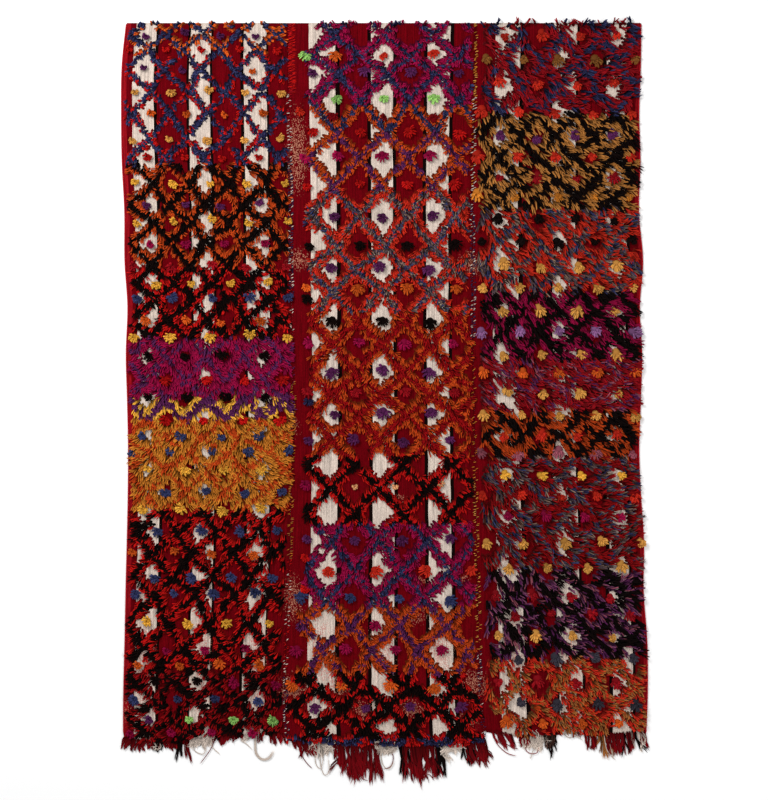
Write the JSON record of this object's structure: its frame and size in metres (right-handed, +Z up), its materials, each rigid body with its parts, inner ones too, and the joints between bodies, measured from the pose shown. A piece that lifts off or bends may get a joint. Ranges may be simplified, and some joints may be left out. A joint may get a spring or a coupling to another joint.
{
  "type": "shaggy three-panel kilim rug",
  "caption": "Flat-woven striped wool rug of joined panels, covered with a diamond lattice of long knotted pile, with a loose fringe at its lower end.",
  "frame": {"origin": "on the underside, at the middle of the rug", "axes": "+X across the rug to its right edge, +Y along it to its top edge, +Z up out of the pile"},
  "size_m": [1.664, 2.4413, 0.0214],
  "materials": {
    "left_wool": "matt wool",
    "middle_wool": "matt wool",
    "right_wool": "silky long wool",
    "warp_ends": "matt wool yarn"
  },
  "bodies": {
    "root": {"panel_left": "left_wool", "panel_middle": "middle_wool", "panel_right": "right_wool", "fringe_left": "warp_ends", "fringe_middle": "warp_ends", "fringe_right": "warp_ends"}
  },
  "joints": []
}
